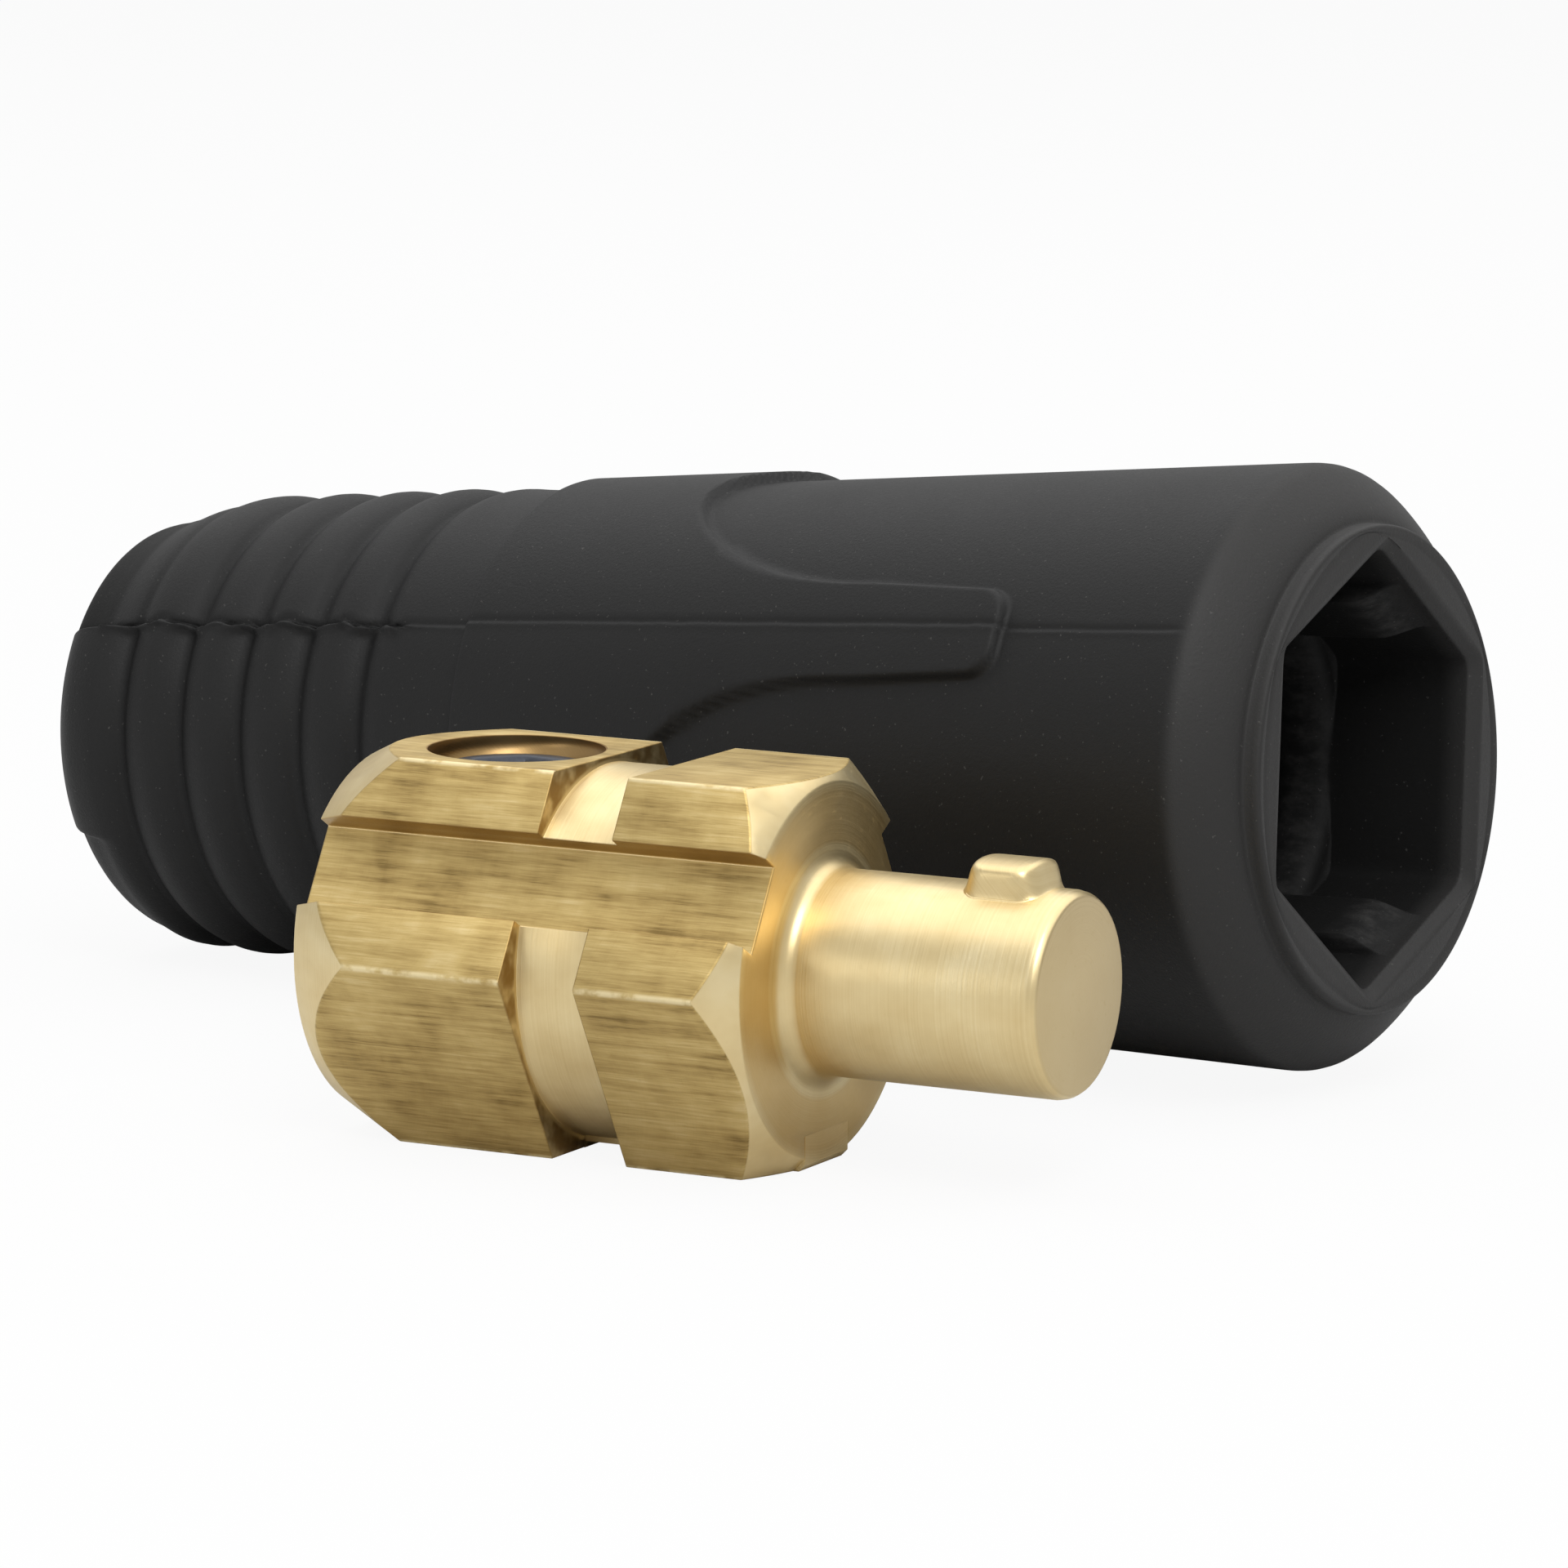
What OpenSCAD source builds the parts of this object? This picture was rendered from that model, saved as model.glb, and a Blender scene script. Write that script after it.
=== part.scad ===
// Welding cable plug, pin half, 9 mm pin size, laid out in its two pieces:
// a milled hexagon brass contact with its clamp screw, and its rubber sleeve.
// Millimetres. Origin: on the table, in the middle of the space the two pieces take.
// +X runs along the contact to its pin, +Z is up.

/* [Contact bar] */
// Width across flats of the hexagon bar
bar_flats = 17; // [15:0.5:20]
// Length of hexagon from the screw centre to its front face
bar_front = 15.4; // [14:0.2:20]
// Length of hexagon from the screw centre to its rear face
bar_rear = 6.6; // [5.5:0.1:10]
// Diameter left flat on the front face by the corner chamfer
front_face_diameter = 16.4; // [13:0.2:16.8]
// Length of the corner chamfer at the front
front_chamfer_length = 1.6; // [0.5:0.1:3]
// Diameter left flat on the rear face by the corner chamfer
rear_face_diameter = 16; // [13:0.2:16.8]
// Length of the corner chamfer at the rear
rear_chamfer_length = 3.6; // [1:0.1:4.5]

/* [Contact grooves] */
// Diameter at the floor of the ring groove
ring_groove_diameter = 16.4; // [15.6:0.1:16.8]
// Width of the ring groove
ring_groove_width = 3.6; // [2.5:0.1:4.5]
// Distance from the front face to the front wall of the ring groove
ring_groove_setback = 7.2; // [5:0.1:8]
// Width of the three lengthwise key slots
key_slot_width = 4; // [3:0.1:5]
// Distance from the axis to the floor of a key slot
key_slot_floor = 7; // [6.4:0.1:7.5]

/* [Contact pin] */
// Diameter of the pin
pin_diameter = 9; // [7:0.1:11]
// Length of the pin in front of the hexagon
pin_length = 12; // [10:0.5:16]
// Radius of the fillet where the pin meets the hexagon
pin_fillet = 0.8; // [0.3:0.1:1.2]
// Depth of the edge break round the pin tip
tip_break = 0.25; // [0.1:0.05:0.6]
// Length of the edge break round the pin tip
tip_break_length = 0.6; // [0.2:0.1:1]
// Width of the bayonet lug across the pin
lug_width = 3.7; // [3:0.1:5]
// Length of the bayonet lug along the pin
lug_length = 3.3; // [2.5:0.1:5]
// Height of the lug top above the pin axis
lug_radius = 5.7; // [5:0.1:6.5]
// Distance from the pin tip to the front of the lug
lug_setback = 1.5; // [1:0.1:3]
// Rounding of the lug corners
lug_rounding = 0.7; // [0.2:0.1:1]

/* [Cable bore] */
// Diameter of the blind bore that takes the bared cable
cable_bore_diameter = 9; // [7:0.1:10]
// Depth of the cable bore from the rear face
cable_bore_depth = 13.5; // [11:0.5:16]
// Edge break at the mouth of the cable bore
cable_bore_break = 0.5; // [0.2:0.1:1]

/* [Clamp screw] */
// Diameter of the clamp screw over its thread
screw_diameter = 7.7; // [5.5:0.1:8]
// Running clearance between the screw and its hole, on the radius
screw_clearance = 0.05; // [0.02:0.01:0.1]
// Length of the clamp screw
screw_length = 6; // [4:0.5:7]
// Depth of the screw top below the flat of the bar
screw_sink = 0.7; // [0.2:0.1:2]
// Width across flats of the key socket in the screw
screw_socket_flats = 4; // [2.5:0.5:4.5]
// Depth of the key socket in the screw
screw_socket_depth = 3.2; // [1.5:0.1:3.5]
// Edge break at both ends of the screw
screw_break = 0.5; // [0.2:0.1:0.8]

/* [Sleeve body] */
// Length of the sleeve
sleeve_length = 68.2; // [60:0.1:80]
// Largest diameter, just behind the nose
sleeve_front_diameter = 27.6; // [26:0.2:32]
// Diameter that the taper reaches at the rear end
sleeve_rear_diameter = 21.5; // [19:0.1:24]
// Outer diameter of the flat lip round the mouth
lip_diameter = 22.2; // [21.4:0.2:24]
// Height of the lip in front of the nose
lip_height = 0.8; // [0.3:0.1:1.2]
// Distance from the mouth to the rear edge of the nose
nose_length = 3.1; // [1.5:0.1:4]
// Drop of the rounded rear end towards the axis
rear_rounding = 2; // [1:0.1:2.6]
// Length of the rounded rear end
rear_rounding_length = 3.4; // [1:0.1:4]

/* [Sleeve ribs and tongues] */
// Number of grooves in the ribbed grip
groove_count = 5; // [3:1:6]
// Distance between grooves
groove_pitch = 3.64; // [2.5:0.02:3.8]
// Depth of the grooves
groove_depth = 0.85; // [0.2:0.05:1]
// Height of the ribs between the grooves above the taper
rib_height = 0.2; // [0:0.05:0.4]
// Distance from the rear end to the first groove
first_groove = 4.9; // [4:0.1:6]
// Height of the raised band and its tongues
band_height = 0.5; // [0.2:0.05:0.8]
// Distance from the mouth to the rear edge of the band
band_rear = 42.8; // [40:0.1:44]
// Distance from the mouth to the round end of the bays between tongues
bay_end = 33.4; // [28:0.1:37]
// Half of the width of a bay
bay_radius = 7.8; // [5:0.1:8]
// Length over which the round end of a bay closes
bay_length = 13; // [8:0.5:16]
// Distance from the mouth to the tip of a tongue
tongue_tip = 13; // [8:0.1:20]
// Width of a tongue
tongue_width = 4; // [3:0.1:6]
// Rounding of the tongue corners
tongue_rounding = 1.1; // [0.5:0.1:1.5]

/* [Sleeve socket] */
// Gap between a flat of the bar and the socket wall
socket_clearance = 0.2; // [0.1:0.05:0.5]
// Gap between the rear face of the bar and the socket floor
socket_end_clearance = 0.4; // [0.2:0.1:1]
// Lead-in at the mouth of the socket
socket_lead = 0.5; // [0.2:0.1:1]
// Gap between a key and the slot of the bar, on each side
key_clearance = 0.2; // [0.1:0.05:0.5]
// Gap between the top of a key and the floor of its slot
key_floor_clearance = 0.8; // [0.2:0.05:1]
// Distance from the mouth to the front of a key
key_start = 0.9; // [0.6:0.1:3]
// Length of the sloping front of a key
key_lead = 2.4; // [0.5:0.1:3]
// Gap between the snap ring and the floor of the ring groove
ring_clearance = 0.15; // [0.05:0.05:0.4]
// Gap between the snap ring and each wall of the ring groove
ring_side_clearance = 0.2; // [0.1:0.05:0.4]
// Diameter of the cable entry at the rear
entry_diameter = 13; // [11:0.5:15]
// Length of the straight part of the cable entry
entry_length = 17; // [10:1:25]
// Diameter of the passage just behind the socket floor
passage_diameter = 15.6; // [14:0.2:16.4]
// Edge rounding at the cable entry
entry_break = 0.8; // [0.4:0.1:1.2]

/* [Layout] */
// Distance of the clamp screw in front of the middle of the layout
contact_x = 4.1; // [-10:0.1:20]
// Distance of the contact axis from the middle of the layout
contact_y = -17.2; // [-40:0.1:-17.2]
// Distance of the sleeve mouth in front of the middle of the layout
sleeve_x = 33.8; // [20:0.1:45]
// Distance of the sleeve mouth behind the middle of the layout
sleeve_y = 9.4; // [9.4:0.1:40]
// Turn of the sleeve on the table, in degrees
sleeve_yaw = 5.8; // [0:0.1:15]
// Slope of the sleeve axis as it lies on its taper, in degrees
sleeve_tilt = 3.2; // [2.5:0.1:4]
// Roll of the sleeve about its own axis, in degrees
sleeve_roll = 7.7; // [-30:0.1:30]

/* [Hidden] */
$fn = 96;
over = 0.5;
steps = 12;

// contact
axis_height = bar_flats / 2;
corner_radius = bar_flats / sqrt(3);
pin_radius = pin_diameter / 2;
pin_tip = bar_front + pin_length;
groove_front = bar_front - ring_groove_setback;
groove_rear = groove_front - ring_groove_width;
bore_radius = cable_bore_diameter / 2;
bore_end = cable_bore_depth - bar_rear;
bore_cone = bore_radius * tan(31);
lug_front = pin_tip - lug_setback;
screw_hole_radius = screw_diameter / 2 + screw_clearance;
screw_top = bar_flats - screw_sink;
slot_angles = [30, 150, 270];

// sleeve
bar_length = bar_front + bar_rear;
socket_flats = bar_flats + 2 * socket_clearance;
socket_corner = socket_flats / sqrt(3);
socket_depth = bar_length + socket_end_clearance;
key_width = key_slot_width - 2 * key_clearance;
key_top = key_slot_floor + key_floor_clearance;
key_angles = [60, 180, 300];
ring_inner = ring_groove_diameter / 2 + ring_clearance;
ring_front = ring_groove_setback + ring_side_clearance;
ring_width = ring_groove_width - 2 * ring_side_clearance;
ring_crest = (socket_corner - ring_inner) * 2 / 3;
ring_squareness = 0.4;
lip_radius = lip_diameter / 2;
nose_edge = 0.15;
taper_length = sleeve_length - nose_length;
front_radius = sleeve_front_diameter / 2;
rear_radius = sleeve_rear_diameter / 2;
tongue_angle = 155.5;
bay_centre = bay_end - bay_length;
bay_points = [for (i = [0 : 2 * steps]) let (a = 90 + 180 * i / (2 * steps))
    [-bay_centre + bay_length * cos(a), bay_radius * sin(a)]];
last_groove = sleeve_length - first_groove - (groove_count - 1) * groove_pitch;

// radius of the plain taper at distance d behind the mouth
function taper_radius(d) = front_radius
    + (rear_radius - front_radius) * (d - nose_length) / taper_length;

// radius of the nose, which swells quickly behind the lip, and of the nose and
// the taper together with the edge between them rounded off
function nose_radius(d) = lip_radius
    + (front_radius - lip_radius) * pow((d - lip_height) / (nose_length - lip_height), 0.7);
function outer_radius(d) = -nose_edge
    * ln(exp(-nose_radius(d) / nose_edge) + exp(-taper_radius(d) / nose_edge));

// share of the groove depth cut away at distance d behind the mouth
function groove_phase(d) = (d - last_groove) / groove_pitch;
function groove_share(d) = groove_phase(d) < -0.5 ? 0
    : groove_phase(d) > groove_count - 0.5 ? 0
    : 1 - pow(abs(sin(180 * groove_phase(d))), 0.8);
function rib_share(d) = min(1, max(0, groove_phase(d) * 2 + 1));
function grip_radius(d) = taper_radius(d) + rib_height * rib_share(d)
    - groove_depth * groove_share(d);

// height of the mouth centre at which the tilted taper just touches the table
function table_radius(d) = taper_radius(d)
    + (d < band_rear ? band_height : d > last_groove ? rib_height : 0);
function resting_height(d) = table_radius(d) * cos(sleeve_tilt) + d * sin(sleeve_tilt);
resting_heights = [for (d = [nose_length : 1.5 : sleeve_length - 4]) resting_height(d)];
sleeve_z = max(max(resting_heights), resting_height(band_rear - 0.01));

// solid of revolution about the X axis from points [radius, x]
module turned(points) {
    rotate([0, 90, 0])
        rotate_extrude()
            polygon(points);
}

// hexagon prism along X with flats up and down
module flat_up_hexagon(corner, x0, x1) {
    translate([x0, 0, 0])
        rotate([0, 90, 0])
            rotate([0, 0, 30])
                cylinder(r = corner, h = x1 - x0, $fn = 6);
}

// hexagon prism along X with corners up and down
module corner_up_hexagon(corner, x0, x1) {
    translate([x0, 0, 0])
        rotate([0, 90, 0])
            cylinder(r = corner, h = x1 - x0, $fn = 6);
}

// flat outline with rounded corners, from x0 to x1 and w wide
module rounded_bar(x0, x1, w, r) {
    translate([x0 + r, -w / 2])
        square([x1 - x0 - 2 * r, w]);
    translate([x0, -w / 2 + r])
        square([x1 - x0, w - 2 * r]);
    for (x = [x0 + r, x1 - r], y = [-w / 2 + r, w / 2 - r])
        translate([x, y])
            circle(r = r, $fn = 32);
}

// contact, drawn about its own axis

// turned envelope that chamfers the corners of the bar
module bar_envelope() {
    turned([
        [0, -bar_rear],
        [rear_face_diameter / 2, -bar_rear],
        [corner_radius + 0.01, -bar_rear + rear_chamfer_length],
        [corner_radius + 0.01, bar_front - front_chamfer_length],
        [front_face_diameter / 2, bar_front],
        [0, bar_front]
    ]);
}

// ring groove that the snap ring of the sleeve drops into
module ring_groove() {
    turned([
        [ring_groove_diameter / 2, groove_rear],
        [corner_radius + over, groove_rear],
        [corner_radius + over, groove_front],
        [ring_groove_diameter / 2, groove_front]
    ]);
}

module key_slots() {
    for (a = slot_angles)
        rotate([a, 0, 0])
            translate([-bar_rear - over, key_slot_floor, -key_slot_width / 2])
                cube([bar_length + 2 * over, corner_radius, key_slot_width]);
}

// pin with a fillet at its root and a broken edge at its tip
module pin() {
    fillet_points = [for (i = [0 : steps]) let (a = 90 * i / steps)
        [pin_radius + pin_fillet * (1 - sin(a)), bar_front + pin_fillet * (1 - cos(a))]];
    turned(concat(
        [[0, bar_front - over], [pin_radius + pin_fillet, bar_front - over]],
        fillet_points,
        [
            [pin_radius, pin_tip - tip_break_length],
            [pin_radius - tip_break * 0.3, pin_tip - tip_break_length * 0.4],
            [pin_radius - tip_break, pin_tip],
            [0, pin_tip]
        ]
    ));
}

// bayonet lug on top of the pin, with its corners and its crest rounded
module lug() {
    rear = lug_front - lug_length;
    intersection() {
        linear_extrude(height = lug_radius + 1)
            rounded_bar(rear, lug_front, lug_width, lug_rounding);
        turned([
            [0, rear],
            [lug_radius - lug_rounding, rear],
            [lug_radius - lug_rounding * 0.3, rear + lug_rounding * 0.3],
            [lug_radius, rear + lug_rounding],
            [lug_radius, lug_front - lug_rounding],
            [lug_radius - lug_rounding * 0.3, lug_front - lug_rounding * 0.3],
            [lug_radius - lug_rounding, lug_front],
            [0, lug_front]
        ]);
    }
}

module cable_bore() {
    turned([
        [0, -bar_rear - over],
        [bore_radius + cable_bore_break + over, -bar_rear - over],
        [bore_radius, -bar_rear + cable_bore_break],
        [bore_radius, bore_end],
        [0, bore_end + bore_cone]
    ]);
}

module contact_body() {
    color([0.80, 0.66, 0.38])
        translate([contact_x, contact_y, axis_height])
            difference() {
                union() {
                    difference() {
                        intersection() {
                            flat_up_hexagon(corner_radius, -bar_rear, bar_front);
                            bar_envelope();
                        }
                        ring_groove();
                        key_slots();
                    }
                    pin();
                    lug();
                }
                cable_bore();
                cylinder(r = screw_hole_radius, h = bar_flats);
            }
}

module clamp_screw() {
    color([0.35, 0.37, 0.42])
        translate([contact_x, contact_y, screw_top - screw_length])
            difference() {
                rotate_extrude()
                    polygon([
                        [0, 0],
                        [screw_diameter / 2 - screw_break, 0],
                        [screw_diameter / 2, screw_break],
                        [screw_diameter / 2, screw_length - screw_break],
                        [screw_diameter / 2 - screw_break, screw_length],
                        [0, screw_length]
                    ]);
                translate([0, 0, screw_length - screw_socket_depth])
                    rotate([0, 0, 20])
                        cylinder(d = screw_socket_flats / cos(30), h = screw_length, $fn = 6);
            }
}

// sleeve, drawn with its mouth at the origin and its body along -X

// outer skin: stepped lip, swelling nose, taper, ribbed grip and round rear end
module sleeve_skin() {
    nose_end = nose_length + 1;
    nose = [for (i = [0 : steps]) let (d = lip_height + (nose_end - lip_height) * pow(i / steps, 1.4))
        [outer_radius(d), -d]];
    plain = [for (d = [nose_end + 3 : 4 : last_groove - groove_pitch / 2])
        [taper_radius(d), -d]];
    end_start = sleeve_length - rear_rounding_length;
    grip = [for (i = [0 : groove_count * 8]) let (d = last_groove + groove_pitch * (i / 8 - 0.5))
        if (d < end_start) [grip_radius(d), -d]];
    end = [for (i = [0 : steps]) let (a = 90 * i / steps)
        [grip_radius(end_start) - rear_rounding * (1 - cos(a)),
            -end_start - rear_rounding_length * sin(a)]];
    turned(concat([[0, 0], [lip_radius, 0]], nose, plain, grip, end, [[0, -sleeve_length]]));
}

// thin shell over the taper from which the raised band and tongues are cut
module band_shell(d0, d1) {
    outer = [for (i = [0 : steps]) let (d = d0 + (d1 - d0) * i / steps)
        [taper_radius(d) + band_height, -d]];
    inner = [for (i = [steps : -1 : 0]) let (d = d0 + (d1 - d0) * i / steps)
        [taper_radius(d) - 2 * over, -d]];
    turned(concat(outer, inner));
}

// outline of the band seen from the axis: a ring with round-ended bays, and the tongues
module band_outline() {
    difference() {
        translate([-band_rear - over, 0, 0])
            rotate([0, 90, 0])
                cylinder(r = sleeve_front_diameter, h = band_rear + over - bay_centre);
        for (a = [0 : 90 : 270])
            rotate([tongue_angle + 45 + a, 0, 0])
                rotate([-90, 0, 0])
                    linear_extrude(height = 2 * sleeve_front_diameter)
                        polygon(bay_points);
    }
    for (a = [0 : 90 : 270])
        rotate([tongue_angle + a, 0, 0])
            rotate([-90, 0, 0])
                linear_extrude(height = sleeve_front_diameter)
                    rounded_bar(-bay_end, -tongue_tip, tongue_width, tongue_rounding);
}

// raised band with its four tongues
module band() {
    intersection() {
        band_shell(tongue_tip, band_rear);
        band_outline();
    }
}

// hexagon socket with a lead-in at its mouth
module socket() {
    corner_up_hexagon(socket_corner, -socket_depth, over);
    translate([-2 * socket_lead, 0, 0])
        rotate([0, 90, 0])
            cylinder(r1 = socket_corner - socket_lead, r2 = socket_corner + 2 * socket_lead,
                h = 3 * socket_lead, $fn = 6);
}

// snap ring that drops into the ring groove of the bar
module snap_ring() {
    centre = ring_front + ring_width / 2;
    crest = [for (i = [0 : steps]) let (a = 180 * i / steps)
        [ring_inner + ring_crest * (1 - pow(sin(a), ring_squareness)),
            -centre + ring_width / 2 * cos(a)]];
    turned(concat(
        [[socket_corner + over, -centre + ring_width / 2]],
        crest,
        [[socket_corner + over, -centre - ring_width / 2]]
    ));
}

// three keys that run in the slots of the bar
module keys() {
    for (a = key_angles)
        rotate([a, 0, 0])
            translate([0, 0, -key_width / 2])
                linear_extrude(height = key_width)
                    polygon([
                        [-key_start, socket_flats / 2 + over],
                        [-key_start, socket_flats / 2 - 0.2],
                        [-key_start - key_lead, key_top],
                        [-socket_depth - over, key_top],
                        [-socket_depth - over, socket_flats / 2 + over]
                    ]);
}

// cable passage behind the socket, tapering to the straight cable entry
module passage() {
    turned([
        [0, -socket_depth + over],
        [passage_diameter / 2, -socket_depth + over],
        [passage_diameter / 2, -socket_depth - over],
        [entry_diameter / 2, -sleeve_length + entry_length],
        [entry_diameter / 2, -sleeve_length + entry_break],
        [entry_diameter / 2 + entry_break + over, -sleeve_length - over],
        [0, -sleeve_length - over]
    ]);
}

module sleeve_shape() {
    difference() {
        union() {
            sleeve_skin();
            band();
        }
        difference() {
            socket();
            snap_ring();
            keys();
        }
        passage();
    }
}

module insulating_sleeve() {
    color([0.13, 0.13, 0.14])
        translate([sleeve_x, sleeve_y, sleeve_z])
            rotate([0, 0, -sleeve_yaw])
                rotate([0, -sleeve_tilt, 0])
                    rotate([-sleeve_roll, 0, 0])
                        sleeve_shape();
}

insulating_sleeve();
contact_body();
clamp_screw();
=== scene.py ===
# %% [markdown]
# # A welding cable plug, taken apart on a table
# The real plug is two pieces. A brass contact is milled from hexagon bar, with a pin that locks
# into the power source by a small lug. A black rubber sleeve slides over it.
# This lesson dresses both for a photograph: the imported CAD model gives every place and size,
# and Blender adds soft moulded edges, threads, brushed metal and dusty rubber.

# %% Start: the frame that every piece is built around
import math
import bmesh
import bpy
import numpy as np
from mathutils import Matrix, Vector


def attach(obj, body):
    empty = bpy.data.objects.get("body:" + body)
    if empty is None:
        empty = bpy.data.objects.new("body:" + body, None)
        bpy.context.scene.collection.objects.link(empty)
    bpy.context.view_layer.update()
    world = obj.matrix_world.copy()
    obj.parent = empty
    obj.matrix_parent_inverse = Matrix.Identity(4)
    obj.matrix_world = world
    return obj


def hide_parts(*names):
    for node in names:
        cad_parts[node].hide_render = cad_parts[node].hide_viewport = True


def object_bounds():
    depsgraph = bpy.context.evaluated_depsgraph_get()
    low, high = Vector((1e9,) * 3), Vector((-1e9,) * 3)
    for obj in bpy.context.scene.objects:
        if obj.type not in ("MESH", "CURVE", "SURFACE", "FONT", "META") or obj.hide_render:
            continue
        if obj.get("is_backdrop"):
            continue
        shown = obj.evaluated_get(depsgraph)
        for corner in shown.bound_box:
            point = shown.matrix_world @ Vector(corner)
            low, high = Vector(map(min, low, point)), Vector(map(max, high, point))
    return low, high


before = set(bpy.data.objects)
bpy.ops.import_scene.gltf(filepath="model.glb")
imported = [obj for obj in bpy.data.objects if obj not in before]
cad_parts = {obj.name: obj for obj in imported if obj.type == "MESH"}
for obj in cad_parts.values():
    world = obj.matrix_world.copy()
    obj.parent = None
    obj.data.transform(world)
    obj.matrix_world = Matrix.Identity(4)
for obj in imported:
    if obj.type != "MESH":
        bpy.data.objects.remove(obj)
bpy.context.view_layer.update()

# %% [markdown]
# ## Sizes
# The drawing is in millimetres and Blender's scene is in metres, so one number turns one into
# the other. The contact lies along X. The sleeve lies on its own taper, turned and rolled a
# little, so it gets its own small frame: its mouth at the origin and its body along -X.

# %% Sizes of the two pieces, in millimetres
MM = 0.001
contact_axis = Vector((4.1, -17.2, 8.5))
bar_front = 15.4
slot_floor, slot_width = 7.0, 4.0
groove_front, groove_rear, groove_radius = 8.2, 4.6, 8.2
pin_radius, pin_tip = 4.5, 27.4
screw_top, screw_radius, thread_pitch = 16.3, 3.85, 1.25

sleeve_length, nose_length, lip_height = 68.2, 3.1, 0.8
front_radius, rear_radius, lip_radius = 13.8, 10.75, 11.1
end_drop, end_length = 2.0, 3.4
groove_count, groove_pitch, groove_depth, last_groove, rib_height = 5, 3.64, 0.85, 48.74, 0.2
band_height, band_rear, bay_centre, bay_half, bay_length = 0.5, 42.8, 20.4, 7.9, 13.0
tongue_tip, tongue_rounding, parting_turn = 13.0, 1.1, 155.5
socket_flats, socket_depth, socket_lead = 17.4, 22.4, 0.5
sleeve_yaw, sleeve_tilt, sleeve_roll = 5.8, 3.2, 7.7


def taper_radius(d):
    """Radius of the plain sleeve at a distance d behind its mouth."""
    return front_radius + (rear_radius - front_radius) * (d - nose_length) / (sleeve_length - nose_length)


def nose_radius(d):
    """The nose swells quickly behind the lip and meets the taper at a slightly rounded edge."""
    swell = lip_radius + (front_radius - lip_radius) * (
        max(d - lip_height, 0) / (nose_length - lip_height)) ** 0.7
    edge = 0.15
    return -edge * math.log(math.exp(-swell / edge) + math.exp(-taper_radius(d) / edge))


tilt = math.radians(sleeve_tilt)
band_edge = band_rear - 0.01
sleeve_height = (taper_radius(band_edge) + band_height) * math.cos(tilt) + band_edge * math.sin(tilt)
sleeve_mouth = Vector((33.8, 9.4, sleeve_height))
sleeve_turn = (Matrix.Rotation(math.radians(-sleeve_yaw), 4, "Z")
               @ Matrix.Rotation(-tilt, 4, "Y")
               @ Matrix.Rotation(math.radians(-sleeve_roll), 4, "X"))
print("the mouth of the sleeve is", round(sleeve_height, 2), "mm above the table")

# %% [markdown]
# ## One small class for node maths
# Both Geometry Nodes and shaders are graphs of sockets. Typing `a * b + 1` is far easier to
# read than placing two Math nodes, so this class wraps a socket and turns each operator into
# its node. One method, `node`, adds any other kind of node.

# %% A socket that can be added, multiplied and compared
class Wire:
    def __init__(self, tree, socket=None):
        self.tree, self.socket = tree, socket

    def node(self, kind, settings=None, inputs=None, out=0):
        made = self.tree.nodes.new(kind)
        for name, value in (settings or {}).items():
            if name == "stops":
                ramp = made.color_ramp
                while len(ramp.elements) < len(value):
                    ramp.elements.new(0.5)
                for element, (place, colour) in zip(ramp.elements, value):
                    element.position, element.color = place, (*colour, 1)
            else:
                setattr(made, name, value)
        for name, value in (inputs or {}).items():
            if isinstance(value, Wire):
                self.tree.links.new(value.socket, made.inputs[name])
            else:
                made.inputs[name].default_value = value
        return Wire(self.tree, made.outputs[out])

    def math(self, operation, *values):
        inputs = {i: v for i, v in enumerate(values)}
        return self.node("ShaderNodeMath", {"operation": operation}, inputs)

    def __add__(self, other):
        return self.math("ADD", self, other)

    def __radd__(self, other):
        return self.math("ADD", other, self)

    def __sub__(self, other):
        return self.math("SUBTRACT", self, other)

    def __rsub__(self, other):
        return self.math("SUBTRACT", other, self)

    def __mul__(self, other):
        return self.math("MULTIPLY", self, other)

    def __rmul__(self, other):
        return self.math("MULTIPLY", other, self)

    def __truediv__(self, other):
        return self.math("DIVIDE", self, other)

    def __pow__(self, other):
        return self.math("POWER", self, other)

    def __abs__(self):
        return self.math("ABSOLUTE", self)

    def smaller(self, other):
        return self.math("MINIMUM", self, other)

    def larger(self, other):
        return self.math("MAXIMUM", self, other)

    def sin(self):
        return self.math("SINE", self)

    def cos(self):
        return self.math("COSINE", self)

    def root(self):
        return self.math("SQRT", self)

    def modulo(self, other):
        return self.math("FLOORED_MODULO", self, other)

    def ramp(self, low, high, smooth=True):
        """0 below low, 1 above high, and a soft slope between them; low may be the larger."""
        kind = "SMOOTHSTEP" if smooth else "LINEAR"
        if low > high:
            return 1 - self.ramp(high, low, smooth)
        return self.node("ShaderNodeMapRange", {"interpolation_type": kind},
                         {"Value": self, "From Min": low, "From Max": high})

    def near(self, place, width):
        """1 at place, fading to 0 at width away on both sides."""
        return abs(self - place).ramp(width, 0.0)

    def split(self):
        axes = self.node("ShaderNodeSeparateXYZ", inputs={0: self})
        return [Wire(self.tree, o) for o in axes.socket.node.outputs]

    def mix(self, low, high):
        """Colour or vector: low where this wire is 0, high where it is 1."""
        made = self.tree.nodes.new("ShaderNodeMix")
        made.data_type, made.clamp_factor = "RGBA", True
        self.tree.links.new(self.socket, made.inputs[0])
        for slot_number, value in ((6, low), (7, high)):
            if isinstance(value, Wire):
                self.tree.links.new(value.socket, made.inputs[slot_number])
            else:
                made.inputs[slot_number].default_value = (*value, 1)
        return Wire(self.tree, made.outputs[2])


print("Wire is ready")

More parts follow.
